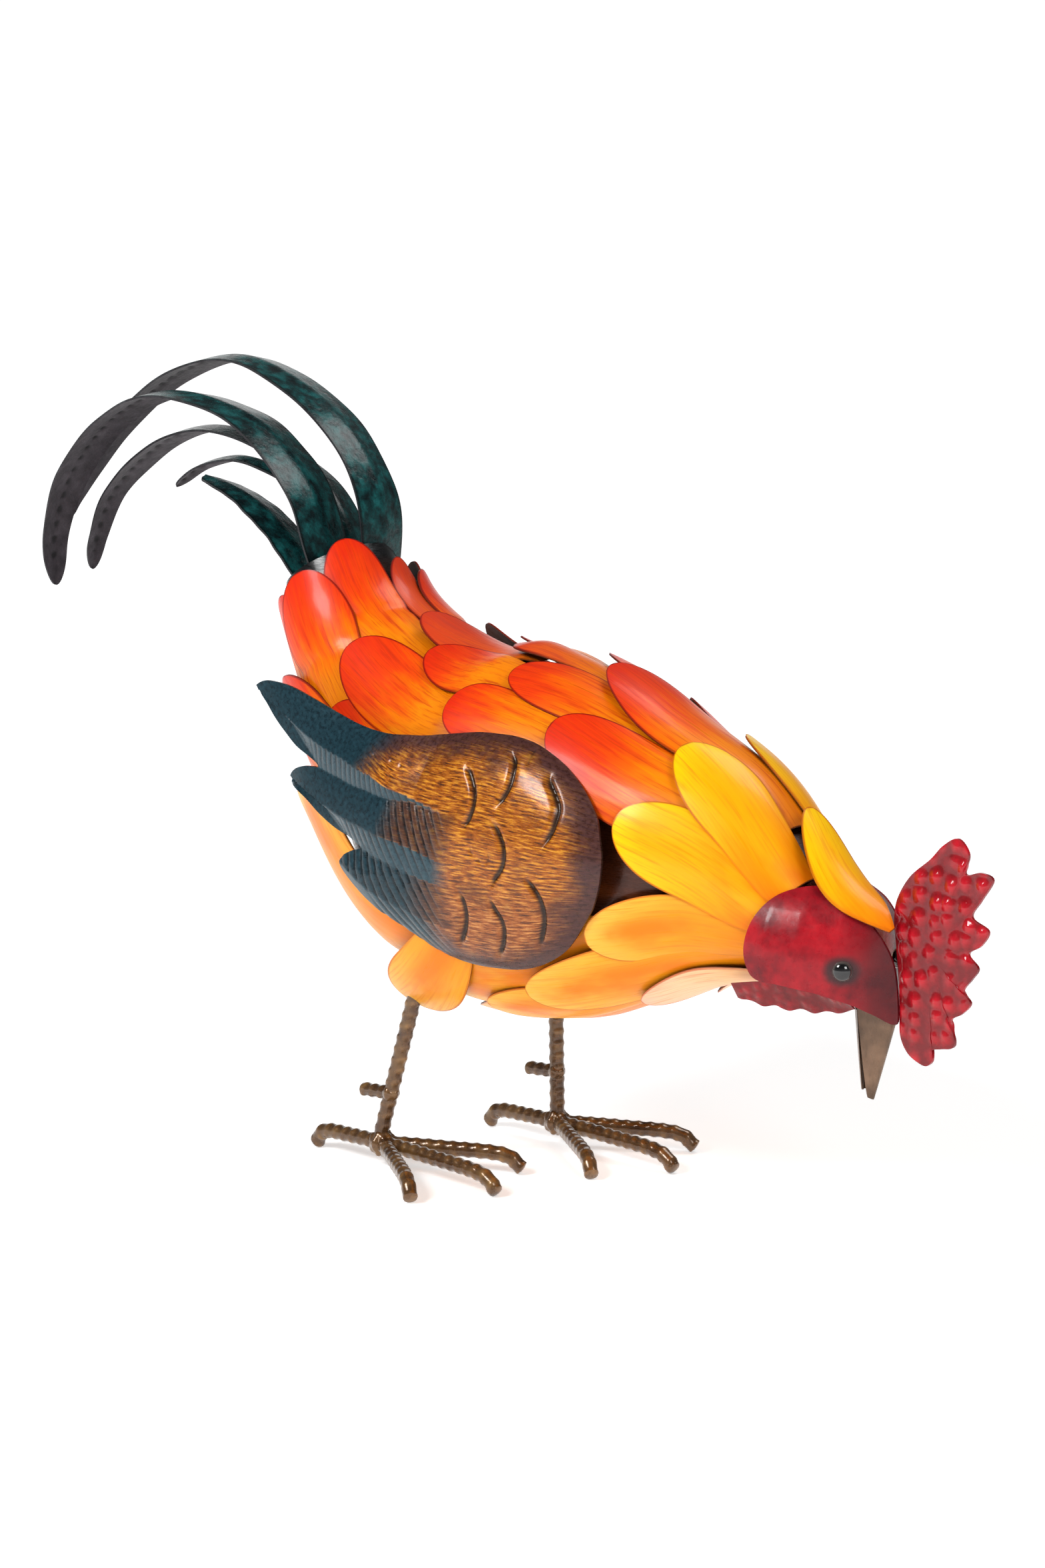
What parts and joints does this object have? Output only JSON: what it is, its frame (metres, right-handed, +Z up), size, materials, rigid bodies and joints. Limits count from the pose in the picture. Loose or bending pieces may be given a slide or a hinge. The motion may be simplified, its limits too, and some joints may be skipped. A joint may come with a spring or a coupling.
{
  "type": "rooster sculpture",
  "caption": "Free-standing rooster of painted sheet metal, bent down to peck, with layered feathers, stamped wings, arched tail plumes and legs of ribbed bar.",
  "frame": {"origin": "on the ground, in the middle of the bounding box of the whole sculpture", "axes": "+X towards the beak, +Y towards the bird's left, +Z up"},
  "size_m": [0.6654, 0.1762, 0.3961],
  "materials": {
    "core": "dark glossy brown paint",
    "flame": "red orange to yellow brushed paint, semi-gloss",
    "hackle": "golden yellow to orange brushed paint, semi-gloss",
    "wing": "copper brown and gold paint with dusty teal fingers, glossy",
    "plume": "mottled dark teal green paint, glossy",
    "head": "mottled dark red paint, semi-gloss",
    "comb": "bumpy crimson paint, glossy",
    "eye": "polished black",
    "beak": "brown lacquer, semi-gloss",
    "bar": "bronze brown lacquer over ribbed bar"
  },
  "bodies": {
    "root": {"right_leg": "bar", "right_foot": "bar", "left_leg": "bar", "left_foot": "bar", "body_shell": "core", "feather_tail_cover_side_right": "flame", "feather_tail_cover_side_left": "flame", "feather_tail_cover_upper_right": "flame", "feather_tail_cover_upper_left": "flame", "feather_tail_cover_lower_right": "flame", "feather_tail_cover_lower_left": "flame", "feather_rump_low_right": "flame", "feather_rump_low_left": "flame", "feather_rump_side_right": "flame", "feather_rump_side_left": "flame", "feather_rump_upper_right": "flame", "feather_rump_upper_left": "flame", "feather_rump_under_wing_right": "flame", "feather_rump_under_wing_left": "flame", "feather_back_side_right": "flame", "feather_back_side_left": "flame", "feather_back_upper_right": "flame", "feather_back_upper_left": "flame", "feather_shoulder_right": "flame", "feather_shoulder_left": "flame", "feather_hackle_upper_right": "hackle", "feather_hackle_upper_left": "hackle", "feather_hackle_side_right": "hackle", "feather_hackle_side_left": "hackle", "feather_hackle_low_right": "hackle", "feather_hackle_low_left": "hackle", "feather_throat_right": "hackle", "feather_throat_left": "hackle", "feather_thigh_rear_right": "hackle", "feather_thigh_rear_left": "hackle", "feather_thigh_right": "hackle", "feather_thigh_left": "hackle", "feather_tail_cover_ridge": "flame", "feather_rump_ridge": "flame", "feather_back_ridge": "flame", "feather_neck_ridge_lower": "flame", "feather_neck_ridge_upper": "hackle", "feather_belly": "hackle", "feather_throat_middle": "hackle", "plume_tallest": "plume", "plume_near": "plume", "plume_middle": "plume", "plume_short": "plume", "plume_low": "plume", "wing_right": "wing", "wing_left": "wing", "cheek_right": "head", "cheek_left": "head", "eye_right": "eye", "eye_left": "eye", "comb": "comb", "beak_upper": "beak", "beak_lower": "beak", "wattle_right": "comb", "wattle_left": "comb"}
  },
  "joints": []
}
